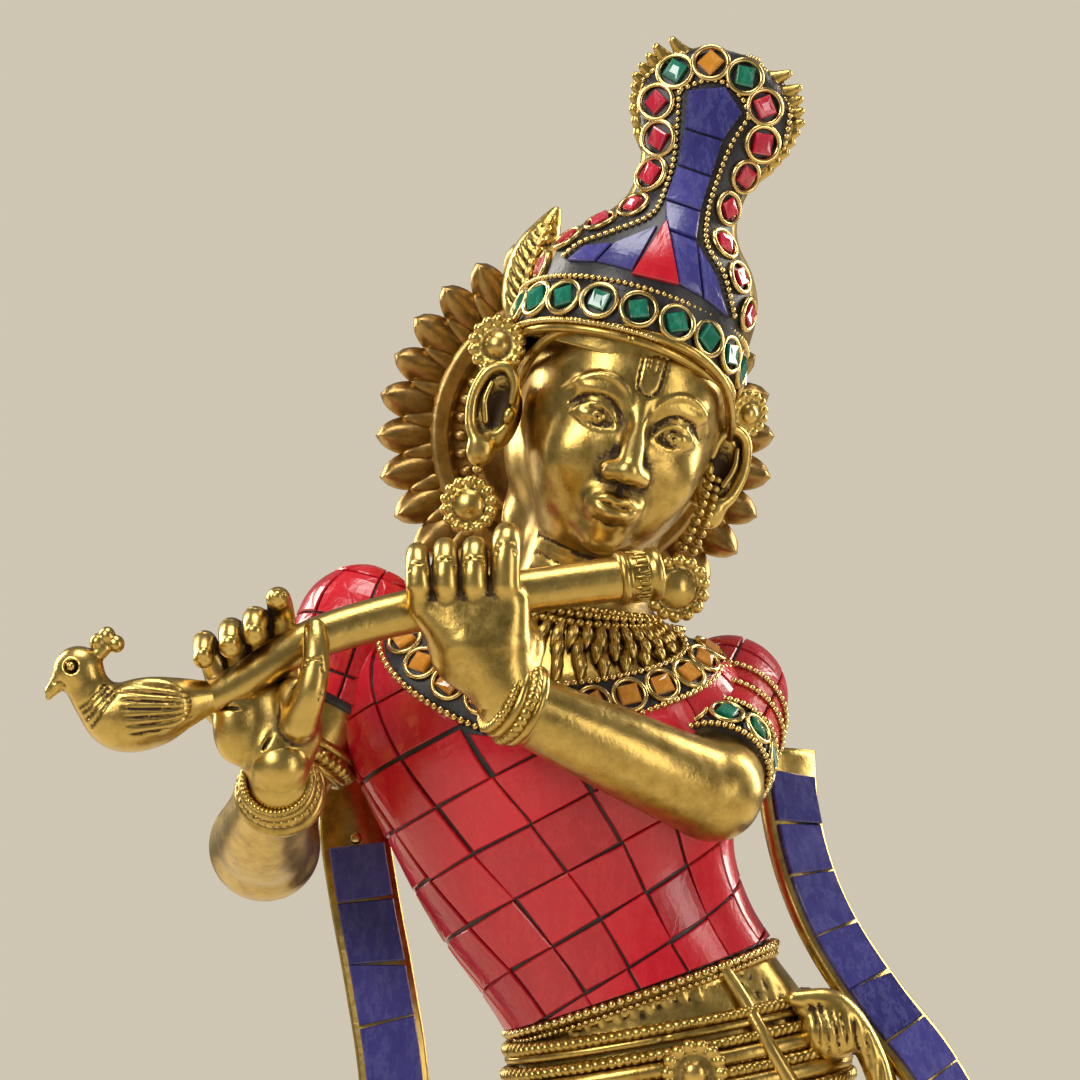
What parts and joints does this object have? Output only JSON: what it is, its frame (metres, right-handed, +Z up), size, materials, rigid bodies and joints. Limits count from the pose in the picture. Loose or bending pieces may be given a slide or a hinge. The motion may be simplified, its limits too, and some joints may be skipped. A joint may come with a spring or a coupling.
{
  "type": "deity statue",
  "caption": "Standing flute player in aged brass with black lac, red and blue stone tiles and bezel-set stones, a petalled halo, two long scarves and a hollow lotus pedestal.",
  "frame": {"origin": "middle of the pedestal's flat resting face", "axes": "+Z up, -Y the way the figure faces, +X the figure's own left"},
  "size_m": [0.1531, 0.1008, 0.3618],
  "materials": {
    "aged_brass": "cast, polished and patinated",
    "brass_wire": "polished wire",
    "black_lac": "black resin bedding",
    "red_tile": "polished coral-coloured tile",
    "blue_tile": "polished lapis-coloured tile",
    "red_stone": "cut chip",
    "green_stone": "cut chip",
    "amber_stone": "cut chip",
    "fixing_steel": "plain fixings"
  },
  "bodies": {
    "root": {"anklets": "aged_brass", "collar_amber_stones": "amber_stone", "collar_beads": "brass_wire", "collar_lac": "black_lac", "collar_rings": "brass_wire", "crest_amber_stone": "amber_stone", "crest_blue_tiles": "blue_tile", "crest_green_stones": "green_stone", "crest_lac": "black_lac", "crest_plate": "aged_brass", "crest_red_stones": "red_stone", "crest_red_triangle": "red_tile", "crest_rings": "brass_wire", "crown_band_lac": "black_lac", "crown_band_rings": "brass_wire", "crown_beads": "brass_wire", "crown_cap": "aged_brass", "crown_green_stones": "green_stone", "crown_leaf": "aged_brass", "ear_drums": "aged_brass", "flute_bird": "aged_brass", "flute_ferrule": "aged_brass", "flute_tube": "aged_brass", "foot_nuts": "fixing_steel", "foot_studs": "fixing_steel", "foot_washers": "fixing_steel", "front_sash": "aged_brass", "girdle": "aged_brass", "halo": "aged_brass", "halo_screw": "fixing_steel", "head_casting": "aged_brass", "hem_beads": "brass_wire", "hip_knot": "aged_brass", "left_arm": "aged_brass", "left_bangle": "aged_brass", "left_cuff_green_stones": "green_stone", "left_cuff_rings": "brass_wire", "left_ear": "aged_brass", "left_hand": "aged_brass", "left_scarf": "aged_brass", "left_scarf_tiles": "blue_tile", "left_sleeve_lac": "black_lac", "left_sleeve_tiles": "red_tile", "legs_casting": "aged_brass", "lotus_pedestal": "aged_brass", "necklace": "aged_brass", "pedestal_petals": "aged_brass", "right_arm": "aged_brass", "right_armlet": "aged_brass", "right_bangle": "aged_brass", "right_ear": "aged_brass", "right_hand": "aged_brass", "right_scarf": "aged_brass", "right_scarf_tiles": "blue_tile", "right_sleeve_lac": "black_lac", "right_sleeve_tiles": "red_tile", "scarf_rivet": "brass_wire", "torso_casting": "aged_brass", "vest_lac": "black_lac", "vest_tiles": "red_tile"}
  },
  "joints": []
}
